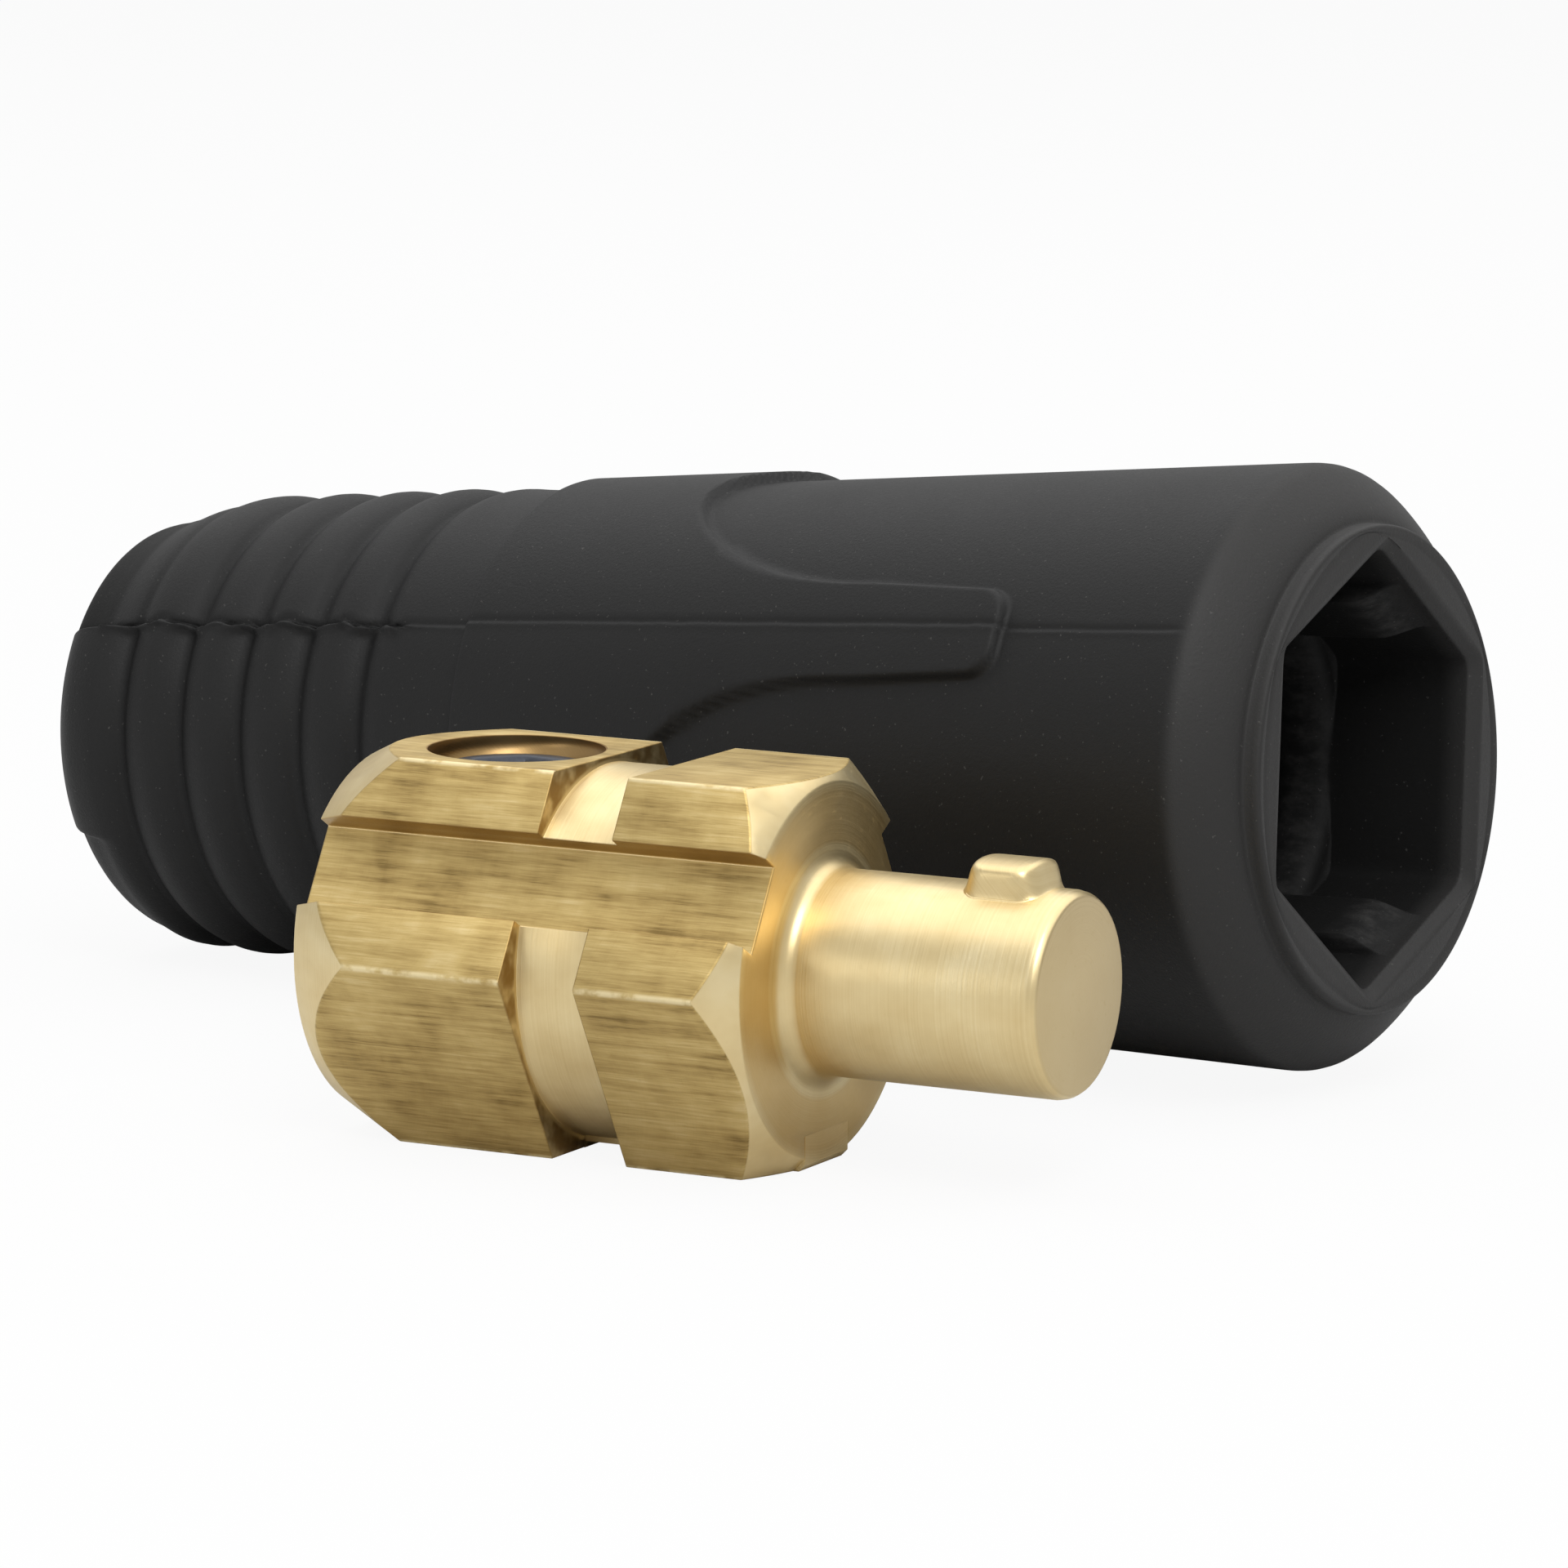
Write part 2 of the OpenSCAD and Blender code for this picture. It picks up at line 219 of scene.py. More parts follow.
# %% [markdown]
# ## The plain sleeve
# A moulded sleeve is one closed skin: along the outside, round the lip, down the socket,
# through the cable passage and back. So it is laid out as one closed grid of rings. The rings
# are closer together where there is detail to show, and so are the lengthwise lines: round
# the parting line and the tongues outside, and round the hexagon's corners and the keys inside.

# %% Where the lengthwise lines of the grid run
lines_round = 360


def spaced_turns(places, width, weight):
    """Angles in degrees, denser near each of the given places."""
    fine = np.linspace(0, 360, 7201)
    density = np.ones_like(fine)
    for place in places:
        away = (fine - place + 180) % 360 - 180
        density += weight * np.exp(-(away / width) ** 2)
    total = np.concatenate([[0], np.cumsum((density[1:] + density[:-1]) / 2)])
    return np.interp(np.arange(lines_round) / lines_round * total[-1], total, fine)


tongue_edges = [parting_turn + 90 * k + side * 9.5 for k in range(4) for side in (-1, 1)]
parting_lines = [parting_turn, parting_turn + 180] * 3
outer_turns = np.radians(spaced_turns(parting_lines + tongue_edges, 1.4, 2.0))
corner_turns = [30 + 60 * k for k in range(6)]
key_turns = [60, 300]
key_half = 11.9
key_edges = [k + s * key_half for k in key_turns for s in (-1, 1)]
inner_turns = np.radians(spaced_turns(corner_turns + key_edges * 2, 1.2, 2.2))
print(lines_round, "lines run along the sleeve")


# %% The hexagon socket with its keys and its snap ring
def hexagon_radius(turns, flats, sharpness=46):
    """Polar radius of a hexagon whose corners are slightly rounded."""
    total = sum(np.clip(np.cos(turns - math.radians(60 * k)), 0, 1) ** sharpness for k in range(6))
    return flats / 2 / total ** (1 / sharpness)


def socket_radius(d, turns, key_rise, ring_fall):
    radius = hexagon_radius(turns, socket_flats + 2 * max(0.0, socket_lead - d))
    away = np.min([np.abs((np.degrees(turns) - k + 180) % 360 - 180) for k in key_turns], axis=0)
    key = np.clip((key_half + 0.45 - away) / 0.9, 0, 1)
    key = key * key * (3 - 2 * key) * key_rise
    crown = 7.8 / np.cos(np.radians(np.minimum(away, key_half)))
    radius = radius + (np.minimum(crown, radius) - radius) * key
    if ring_fall > 0:
        radius = np.minimum(radius, 10.05 - 1.7 * ring_fall)
    return radius


def ease(x):
    x = min(max(x, 0.0), 1.0)
    return x * x * (3 - 2 * x)


# %% Rings along the sleeve, from the rear face forward, in through the mouth and back
rings = []


def add_ring(d, radius, skin, mix):
    """mix is 0 on the outside and 1 inside: it slides the lengthwise lines across."""
    turns = outer_turns + (inner_turns - outer_turns) * mix
    radius = np.broadcast_to(radius, (lines_round,))
    rings.append((np.full(lines_round, float(d)), radius, turns, skin))


end_start = sleeve_length - end_length
rear_edge = taper_radius(end_start) - end_drop
for step in range(4):
    add_ring(sleeve_length, 7.3 + (rear_edge - 7.3) * step / 4, 1, ease(1 - step / 3))
for step in range(14):
    bend = math.radians(90 * (1 - step / 14))
    add_ring(end_start + end_length * math.sin(bend),
             taper_radius(end_start) - end_drop * (1 - math.cos(bend)), 1, 0)
ring_stretches = [(64.7, 46.4, 0.3), (46.0, 43.6, 0.6), (43.3, 42.1, 0.13),
                  (41.8, 34.8, 0.8), (34.4, 29.8, 0.2), (29.4, 20.0, 0.6),
                  (19.6, 14.6, 0.8), (14.3, 12.4, 0.13), (12.0, 4.7, 0.9)]
for high, low, gap in ring_stretches:
    for d in np.arange(high, low, -gap):
        add_ring(d, taper_radius(d), 1, 0)
for step in range(18):
    d = lip_height + 3.3 * (1 - step / 18) ** 1.5
    add_ring(d, nose_radius(d), 1, 0)
lip_rings = [(lip_height + 0.01, lip_radius + 0.02), (lip_height - 0.08, lip_radius - 0.03),
             (0.4, 11.07), (0.16, 11.06), (0.05, 11.0), (0.0, 10.9)]
for d, radius in lip_rings:
    add_ring(d, radius, 1, 0)
mouth = socket_radius(0.0, inner_turns, 0, 0)
for share, sink in [(0.10, 0.02), (0.20, 0.05), (0.26, 0.09), (0.34, 0.05), (0.5, 0.02),
                    (0.72, 0.02), (0.86, 0.0), (0.95, 0.0)]:
    add_ring(sink, 10.9 + (mouth - 10.9) * share, 0, share)
print(len(rings), "rings on the outside")

# %% Rings down the socket and back through the cable passage
for d in [0.05, 0.15, 0.28, 0.4, 0.48, 0.56, 0.7]:
    add_ring(d, socket_radius(d, inner_turns, 0, 0), 0, 1)
for d in [0.9, 1.05, 1.3, 1.6, 1.9, 2.2, 2.5, 2.8, 3.1, 3.4, 4.0, 5.0, 6.0, 6.9, 7.3]:
    add_ring(d, socket_radius(d, inner_turns, ease((d - 0.9) / 2.4), 0), 0, 1)
for step in range(21):
    bend = math.pi * step / 20
    add_ring(9.0 - 1.6 * math.cos(bend), socket_radius(9.0, inner_turns, 1, math.sin(bend) ** 0.4), 0, 1)
for d in [10.7, 11.5, 13.0, 15.0, 17.5, 20.0, 21.5, 22.2]:
    add_ring(d, socket_radius(d, inner_turns, 1, 0), 0, 1)
add_ring(socket_depth, socket_radius(socket_depth, inner_turns, 1, 0) - 0.15, 0, 1)
add_ring(socket_depth, 7.75, 0, 1)
for d in [22.6, 27, 32, 37, 42, 47, 51.2, 55, 60, 67.2, 67.4]:
    add_ring(d, max(6.5, 7.75 - 1.25 * (d - 22.6) / 28.6), 0, 1)
for step in range(1, 6):
    bend = math.radians(90 * step / 6)
    add_ring(67.4 + 0.8 * math.sin(bend), 6.5 + 0.8 * (1 - math.cos(bend)), 0, 1)
print(len(rings), "rings in all")


# %% Turn the rings into one closed mesh
def grid_mesh(name, ring_list):
    """Joins each ring to the next, and the last to the first."""
    d = np.array([r[0] for r in ring_list])
    radius = np.array([r[1] for r in ring_list])
    turns = np.array([r[2] for r in ring_list])
    skin = np.repeat([float(r[3]) for r in ring_list], lines_round)
    count = len(ring_list)
    points = np.stack([-d, radius * np.cos(turns), radius * np.sin(turns)], axis=2) * MM
    ring_at, line_at = np.meshgrid(np.arange(count), np.arange(lines_round), indexing="ij")
    next_ring, next_line = (ring_at + 1) % count, (line_at + 1) % lines_round
    quads = np.stack([ring_at * lines_round + line_at, next_ring * lines_round + line_at,
                      next_ring * lines_round + next_line, ring_at * lines_round + next_line], axis=2)
    mesh = bpy.data.meshes.new(name)
    mesh.from_pydata(points.reshape(-1, 3).tolist(), [], quads.reshape(-1, 4).tolist())
    for title, values in (("along", d), ("turn", turns), ("skin", skin)):
        attribute = mesh.attributes.new(title, "FLOAT", "POINT")
        attribute.data.foreach_set("value", np.asarray(values, np.float32).ravel())
    work = bmesh.new()
    work.from_mesh(mesh)
    bmesh.ops.recalc_face_normals(work, faces=work.faces)
    if work.calc_volume(signed=True) < 0:
        bmesh.ops.reverse_faces(work, faces=work.faces)
    work.to_mesh(mesh)
    work.free()
    mesh.shade_smooth()
    return mesh


def add_object(name, mesh):
    made = bpy.data.objects.new(name, mesh)
    bpy.context.scene.collection.objects.link(made)
    return made


sleeve = add_object("sleeve_rubber_skin", grid_mesh("sleeve_rubber_skin", rings))
print("plain sleeve:", len(sleeve.data.polygons), "faces")

# %% [markdown]
# ## Ribs, band and tongues by Geometry Nodes
# The relief on the sleeve follows rules: ribs repeat along it, tongues repeat round it, and a
# thin line of flash runs where the two halves of the mould met. A tree that pushes each point
# outwards by a rule suits this well, because every size is a named input that can be changed.

# %% Helpers that build a Geometry Nodes tree and run it
def new_tree(name, sizes):
    tree = bpy.data.node_groups.new(name, "GeometryNodeTree")
    tree.interface.new_socket("Geometry", in_out="INPUT", socket_type="NodeSocketGeometry")
    tree.interface.new_socket("Geometry", in_out="OUTPUT", socket_type="NodeSocketGeometry")
    for title in sizes:
        tree.interface.new_socket(title, in_out="INPUT", socket_type="NodeSocketFloat")
    start = tree.nodes.new("NodeGroupInput")
    wires = {o.name: Wire(tree, o) for o in start.outputs if o.name}
    return tree, wires


def finish_tree(tree, geometry, material):
    """Realize Instances and Set Material close every tree, and its result goes to the output."""
    real = geometry.node("GeometryNodeRealizeInstances", inputs={0: geometry})
    dressed = geometry.node("GeometryNodeSetMaterial", inputs={"Geometry": real})
    dressed.socket.node.inputs["Material"].default_value = material
    end = tree.nodes.new("NodeGroupOutput")
    tree.links.new(dressed.socket, end.inputs[0])


def run_tree(made, tree, sizes):
    """Runs the tree on an object, keeps the result as a plain mesh and removes the modifier."""
    modifier = made.modifiers.new(tree.name, "NODES")
    modifier.node_group = tree
    for item in tree.interface.items_tree:
        if item.in_out == "INPUT" and item.name in sizes:
            modifier[item.identifier] = float(sizes[item.name])
    graph = bpy.context.evaluated_depsgraph_get()
    graph.update()
    mesh = bpy.data.meshes.new_from_object(made.evaluated_get(graph), depsgraph=graph)
    made.modifiers.clear()
    made.data = mesh
    made.data.name = made.name
    return made


rubber = bpy.data.materials.new("moulded_rubber")
brass = bpy.data.materials.new("milled_brass")
screw_steel = bpy.data.materials.new("blued_screw_steel")
print("three finishes are named")

# %% The relief tree: grooves, raised band with four tongues, and the parting line
relief_sizes = {
    "Groove Pitch": groove_pitch, "Groove Depth": groove_depth, "Groove Count": groove_count,
    "Last Groove": last_groove, "Rib Height": rib_height, "Half Mismatch": 0.2,
    "Upper End Drop": 0.9, "Short Tip": 31.3, "Band Height": band_height, "Band Rear": band_rear,
    "Bay Centre": bay_centre, "Bay Half": bay_half, "Bay Length": bay_length,
    "Tongue Tip": tongue_tip, "Tongue Rounding": tongue_rounding, "Edge Softness": 0.17,
    "Parting Turn": math.radians(parting_turn), "Flash Height": 0.30, "Flash Width": 0.18,
}
tree, size = new_tree("sleeve_relief", relief_sizes)
skin = size["Geometry"]


def stored(title):
    return skin.node("GeometryNodeInputNamedAttribute", {"data_type": "FLOAT"}, {"Name": title})


along, turn, on_skin = stored("along"), stored("turn"), stored("skin")
from_parting = turn - size["Parting Turn"]
lower_half = from_parting.sin().ramp(-0.012, 0.012)
shifted = along - size["Half Mismatch"] * (lower_half * 2 - 1)
phase = (shifted - size["Last Groove"]) / size["Groove Pitch"]
in_grip = phase.ramp(-0.55, -0.45) * (size["Groove Count"] - phase).ramp(0.45, 0.55)
wave = (phase * math.pi).sin()
groove = (1 - (wave * wave + 0.002) ** 0.33) * in_grip
groove = groove * (1 - phase.ramp(3.4, 3.7) * (1 - lower_half) * 0.5)
rib = phase.ramp(-1.0, 0.0)

radius = taper_radius(0) + (rear_radius - front_radius) / (sleeve_length - nose_length) * along
from_tongue = abs((from_parting + math.pi / 4).modulo(math.pi / 2) - math.pi / 4)
bay_across = radius * (math.pi / 4 - from_tongue)
bay_along = (along - size["Bay Centre"]).larger(0.0) * (size["Bay Half"] / size["Bay Length"])
bay_reach = (bay_across * bay_across + bay_along * bay_along).root().larger(0.01)
bay_width = size["Bay Half"] + (size["Bay Centre"] - along).larger(0.0) * 0.082
bay_slope = (bay_across * bay_across + bay_along * bay_along * 0.37).root().larger(0.01) / bay_reach
from_bay = (bay_reach - bay_width) / bay_slope
short_one = (from_parting + math.pi / 4).sin() * (from_parting - math.pi / 4).sin()
short_tongue = short_one.ramp(-0.01, 0.01)
from_tip = along - size["Tongue Tip"] - (size["Short Tip"] - size["Tongue Tip"]) * short_tongue
round_a = (size["Tongue Rounding"] - from_bay).larger(0.0)
round_b = (size["Tongue Rounding"] - from_tip).larger(0.0)
rounded = size["Tongue Rounding"] - (round_a * round_a + round_b * round_b).root()
raised = from_bay.smaller(from_tip).smaller(rounded).smaller(size["Band Rear"] - along)
band = (raised / size["Edge Softness"]).ramp(-1.6, 0.4)

wobble = skin.node("ShaderNodeTexNoise", {"noise_dimensions": "1D"},
                   {"W": along * 0.9, "Scale": 1.0, "Detail": 3.0})
waviness = 0.15 + in_grip * 0.7
flash_place = radius * from_parting.sin() - (wobble - 0.5) * waviness


def ridge_line(place, width):
    """A soft line where place is 0: 1 in the middle, fading on both sides."""
    return place.math("EXPONENT", 0 - (place / width) * (place / width))


flash = ridge_line(flash_place, size["Flash Width"]) * (wobble * 1.3 + 0.2) * (0.1 + in_grip * 0.9)
crease = ridge_line(flash_place + 0.26, 0.12) * (0.08 + in_grip * 0.16)
height = (size["Band Height"] * band + size["Rib Height"] * rib - size["Groove Depth"] * groove
          + size["Flash Height"] * flash - crease)
height = height * along.ramp(3.0, 4.2) * along.ramp(sleeve_length - 0.05, sleeve_length - 1.6)
end_fall = along.ramp(sleeve_length - 5.6, sleeve_length - 2.4) * (1 - lower_half)
end_fall = end_fall * along.ramp(sleeve_length + 0.3, sleeve_length - 1.8)
torn = turn.ramp(math.radians(211), math.radians(213)) * turn.ramp(math.radians(290), math.radians(270))
torn = torn * along.ramp(sleeve_length - 3.6, sleeve_length - 2.0)
height = (height - size["Upper End Drop"] * end_fall - torn * 0.35) * on_skin
outward = skin.node("ShaderNodeCombineXYZ", inputs={
    1: turn.cos() * height * MM, 2: turn.sin() * height * MM})
moved = skin.node("GeometryNodeSetPosition", inputs={"Geometry": skin, "Offset": outward})
finish_tree(tree, moved, rubber)
run_tree(sleeve, tree, relief_sizes)
print("sleeve relief done:", len(sleeve.data.polygons), "faces")

# %% Keep the sleeve's own coordinates for its finish, then lay it on the table
own_place = np.zeros(len(sleeve.data.vertices) * 3, np.float32)
sleeve.data.vertices.foreach_get("co", own_place)
kept = sleeve.data.attributes.new("mould_place", "FLOAT_VECTOR", "POINT")
kept.data.foreach_set("vector", own_place / MM)
sleeve.data.transform(Matrix.Translation(sleeve_mouth * MM) @ sleeve_turn)
sleeve.data.shade_smooth()
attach(sleeve, "plug")
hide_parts("insulating_sleeve")
lowest = min(v.co.z for v in sleeve.data.vertices)
print("lowest point of the sleeve:", round(lowest / MM, 3), "mm")

# %% Two helpers: a clean closed mesh, and one object from several
def closed(mesh):
    """Welds doubled points and makes every face look outwards."""
    work = bmesh.new()
    work.from_mesh(mesh)
    bmesh.ops.remove_doubles(work, verts=work.verts, dist=0.002 * MM)
    bmesh.ops.recalc_face_normals(work, faces=work.faces)
    work.to_mesh(mesh)
    work.free()
    mesh.shade_smooth()
    mesh.set_sharp_from_angle(angle=math.radians(32))
    return mesh


def join(name, parts):
    """One object from several."""
    with bpy.context.temp_override(active_object=parts[0], selected_editable_objects=parts,
                                   selected_objects=parts):
        bpy.ops.object.join()
    parts[0].name = parts[0].data.name = name
    return parts[0]


print("mesh helpers are ready")

# %% [markdown]
# ## The contact with broken edges
# A milled edge is never razor sharp: a fraction of a millimetre is broken off, and that thin
# strip is what catches the light. The CAD surface is right, so a copy of it is cleaned into
# flat faces and every hard edge gets a narrow bevel.


# %% A copy of a CAD node with narrow bevels on its hard edges
def broken_edges(node, name, width, sharp_angle):
    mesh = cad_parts[node].data.copy()
    work = bmesh.new()
    work.from_mesh(mesh)
    bmesh.ops.remove_doubles(work, verts=work.verts, dist=0.004 * MM)
    bmesh.ops.dissolve_degenerate(work, edges=work.edges, dist=0.002 * MM)
    bmesh.ops.dissolve_limit(work, angle_limit=math.radians(0.6), verts=work.verts, edges=work.edges)
    hard = [e for e in work.edges
            if e.is_manifold and e.calc_face_angle() > math.radians(sharp_angle)]
    bmesh.ops.bevel(work, geom=hard, offset=width * MM, offset_type="OFFSET", segments=2,
                    profile=0.55, affect="EDGES", clamp_overlap=False)
    work.normal_update()
    work.to_mesh(mesh)
    work.free()
    mesh.name = name
    mesh.materials.clear()
    mesh.shade_smooth()
    mesh.set_sharp_from_angle(angle=math.radians(34))
    return mesh


contact = add_object("contact_milled_brass", broken_edges("contact_body", "contact_milled_brass", 0.07, 19))
contact.data.materials.append(brass)

# %% The bottom flat is whole: a filler of the same outline closes the lowest slot
outline = [(-6.6, -8.0), (-5.6, -8.5), (4.6, -8.5), (4.6, -8.2), (8.2, -8.2), (8.2, -8.5),
           (15.1, -8.5), (15.4, -8.2), (15.4, -6.9), (-6.6, -6.9)]
filler_half = 2.02
filler_points = [(x * MM, side * filler_half * MM, z * MM) for side in (-1, 1) for x, z in outline]
edge_count = len(outline)
filler_faces = [tuple(range(edge_count)), tuple(range(2 * edge_count - 1, edge_count - 1, -1))]
filler_faces += [(i, edge_count + i, edge_count + (i + 1) % edge_count, (i + 1) % edge_count)
                 for i in range(edge_count)]
filler_mesh = bpy.data.meshes.new("bottom_flat")
filler_mesh.from_pydata(filler_points, [], filler_faces)
filler_mesh.transform(Matrix.Translation(contact_axis * MM))
filler_mesh.materials.append(brass)
contact = join("contact_milled_brass", [contact, add_object("bottom_flat", closed(filler_mesh))])

# %% The lug as a rounded lump: the drawn lug is sunk into the pin and a soft one covers its place
lug_middle, lug_half_length, lug_half_width, lug_rise = 24.25, 1.65, 1.85, 1.32
sunk_radius, foot_radius, core_radius = 4.3, 4.38, 4.0
for vertex in contact.data.vertices:
    spot = vertex.co / MM - contact_axis
    height = math.hypot(spot.y, spot.z)
    if abs(spot.x - lug_middle) < 1.9 and height > 4.6:
        vertex.co.y = (contact_axis.y + spot.y * sunk_radius / height) * MM
        vertex.co.z = (contact_axis.z + spot.z * sunk_radius / height) * MM


def lug_lump(count=56):
    """A grid over the lug's place: it rises softly at the foot and rounds off at the top."""
    share = np.linspace(-1.3, 1.3, count)
    length, width = np.meshgrid(share, share, indexing="ij")
    edge = (length ** 4 + width ** 4) ** 0.25
    top = foot_radius + lug_rise / (1 + edge ** 17)
    angle = math.pi / 2 + width * lug_half_width / 5.0
    x = lug_middle + lug_half_length * length
    layers = [np.stack([x, r * np.cos(angle), r * np.sin(angle)], axis=2).reshape(-1, 3)
              for r in (top, np.full_like(top, core_radius))]
    faces, total = [], count * count
    for i in range(count - 1):
        for j in range(count - 1):
            a = i * count + j
            faces.append((a, a + 1, a + count + 1, a + count))
            faces.append((total + a, total + a + count, total + a + count + 1, total + a + 1))
    rim = [j for j in range(count - 1)] + [i * count + count - 1 for i in range(count - 1)]
    rim += [total - 1 - j for j in range(count - 1)] + [(count - 1 - i) * count for i in range(count - 1)]
    for k, a in enumerate(rim):
        b = rim[(k + 1) % len(rim)]
        faces.append((a, b, b + total, a + total))
    mesh = bpy.data.meshes.new("bayonet_lug")
    mesh.from_pydata((np.concatenate(layers) * MM).tolist(), [], faces)
    mesh.transform(Matrix.Translation(contact_axis * MM))
    mesh.materials.append(brass)
    return closed(mesh)


contact = join("contact_milled_brass", [contact, add_object("bayonet_lug", lug_lump())])
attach(contact, "plug")
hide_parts("contact_body")
print("contact:", len(contact.data.polygons), "faces")

# %% [markdown]
# ## Threads
# A thread is one profile swept along a helix. Geometry Nodes has both parts: a spiral curve,
# and Curve to Mesh. The same tree makes the screw's outer thread and the thread that shows in
# the wall of its hole, because only the radius and the height of the ridge differ.

# %% The thread tree: a helix with a flat-topped ridge swept along it
thread_sizes = {"Radius": screw_radius - 0.3, "Height": 0.3, "Turns": 5.0, "Pitch": thread_pitch,
                "Bottom": 10.3, "Start Turn": 0.0}


def build_thread_tree(name, material):
    tree, size = new_tree(name, thread_sizes)
    base = size["Geometry"]
    helix = base.node("GeometryNodeCurveSpiral", inputs={
        "Resolution": 64, "Rotations": size["Turns"], "Start Radius": size["Radius"] * MM,
        "End Radius": size["Radius"] * MM, "Height": size["Turns"] * size["Pitch"] * MM})
    upright = base.node("GeometryNodeSetCurveNormal", {"mode": "Z_UP"}, {"Curve": helix})
    rise, reach = 0.42, size["Height"]
    profile = base.node("GeometryNodeCurvePrimitiveQuadrilateral", {"mode": "TRAPEZOID"}, {
        "Height": reach * MM, "Bottom Width": 2 * rise * MM, "Top Width": 0.3 * MM, "Offset": 0.0})
    swept = base.node("GeometryNodeCurveToMesh", inputs={
        "Curve": upright, "Profile Curve": profile, "Fill Caps": True})
    spin = base.node("ShaderNodeCombineXYZ", inputs={2: size["Start Turn"]})
    shift = base.node("ShaderNodeCombineXYZ", inputs={2: size["Bottom"] * MM})
    placed = base.node("GeometryNodeTransform", inputs={
        "Geometry": swept, "Translation": shift, "Rotation": spin})
    finish_tree(tree, placed, material)
    return tree


print("thread tree is described")

# %% [markdown]
# ## The clamp screw
# A short set screw: a core, its thread, and a hexagon key socket in the top. The core is
# turned as a profile, and the socket is part of the same rings: its first rings are hexagons.


# %% The core of the screw with its hexagon socket
def screw_core():
    floor, segments = 3.2, 72
    turns = np.linspace(0, 2 * math.pi, segments, endpoint=False)
    hexagon = hexagon_radius(turns, 4.0, 60)
    root = screw_radius - 0.34
    rows = [(hexagon * 0.02, -floor - 0.5), (hexagon * 0.55, -floor - 0.35), (hexagon * 0.96, -floor),
            (hexagon, -floor + 0.1), (hexagon, -0.25), (hexagon + 0.12, -0.08), (hexagon + 0.28, 0.0),
            (3.0, 0.0), (3.15, -0.04), (root, -0.5), (root, -1.0), (root, -5.0), (root, -5.5),
            (2.9, -5.95), (2.6, -6.0), (1.6, -5.6), (0.03, -5.3)]
    points, faces = [], []
    for radius, z in rows:
        radius = np.broadcast_to(radius, (segments,))
        points += [(r * math.cos(t), r * math.sin(t), z) for r, t in zip(radius, turns)]
    for row in range(len(rows) - 1):
        for i in range(segments):
            j = (i + 1) % segments
            a, b = row * segments, (row + 1) * segments
            faces.append((a + i, b + i, b + j, a + j))
    faces.append(tuple(range(segments)))
    faces.append(tuple(range((len(rows) - 1) * segments, len(rows) * segments)))
    mesh = bpy.data.meshes.new("screw_core")
    mesh.from_pydata([tuple(c * MM for c in p) for p in points], [], faces)
    raised = Matrix.Translation(Vector((0, 0, screw_top * MM)))
    mesh.transform(raised @ Matrix.Rotation(math.radians(20), 4, "Z"))
    return mesh


thread_tree = build_thread_tree("screw_thread", screw_steel)
ridge = add_object("screw_ridge", bpy.data.meshes.new("screw_ridge"))
run_tree(ridge, thread_tree, {**thread_sizes, "Radius": screw_radius - 0.19, "Height": 0.38,
                              "Turns": 4.2, "Bottom": 10.65})
print("ridge:", len(ridge.data.polygons), "faces, reach",
      round(max(math.hypot(v.co.x, v.co.y) for v in ridge.data.vertices) / MM, 3))
core = add_object("screw_core", screw_core())
core.data.materials.append(screw_steel)
screw = join("clamp_screw_threaded", [core, ridge])
screw.data.transform(Matrix.Translation(Vector((contact_axis.x, contact_axis.y, 0)) * MM))
closed(screw.data)
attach(screw, "screw")
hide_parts("clamp_screw")
print("clamp screw:", len(screw.data.polygons), "faces")

# %% [markdown]
# ## Finishes
# Every finish reads the piece's own coordinates, so its marks stay on the metal when the
# plug is turned. The brass is two finishes in one: flats that kept the dull skin of the drawn
# bar with its lengthwise lines, and bright turned or milled faces with fine tool rings.

# %% Helpers for shader trees
def start_finish(material):
    material.use_nodes = True
    tree = material.node_tree
    tree.nodes.clear()
    wire = Wire(tree)
    place = wire.node("ShaderNodeTexCoord", out=3)
    return tree, wire, place


def noise(wire, place, scale, detail=3.0, roughness=0.5, stretch=(1, 1, 1)):
    """Noise about 0 to 1 over a piece. Scale is in marks per millimetre."""
    mapped = wire.node("ShaderNodeVectorMath", {"operation": "MULTIPLY"},
                       {0: place, 1: tuple(s * scale / MM for s in stretch)})
    return wire.node("ShaderNodeTexNoise", inputs={
        "Vector": mapped, "Scale": 1.0, "Detail": detail, "Roughness": roughness})


def end_finish(tree, wire, fixed, inputs):
    shader = wire.node("ShaderNodeBsdfPrincipled", inputs={**fixed, **inputs})
    tree.links.new(shader.socket, tree.nodes.new("ShaderNodeOutputMaterial").inputs[0])
    return shader


def bump(wire, height, distance, strength=1.0):
    return wire.node("ShaderNodeBump", inputs={
        "Strength": strength, "Distance": distance * MM, "Height": height})


# %% Brass: drawn flats, turned faces, stained groove walls, and painted shade and a painted dark reflection on slot walls, hole wall, pin tip and front face
tree, wire, place = start_finish(brass)
x, y, z = [w / MM for w in place.split()]
x, y, z = x - contact_axis.x, y - contact_axis.y, z - contact_axis.z
radius = (y * y + z * z).root()


def across(degrees):
    """Distance from the axis in the direction of one flat, and the distance along that flat."""
    c, s = math.cos(math.radians(degrees)), math.sin(math.radians(degrees))
    return y * c + z * s, z * c - y * s


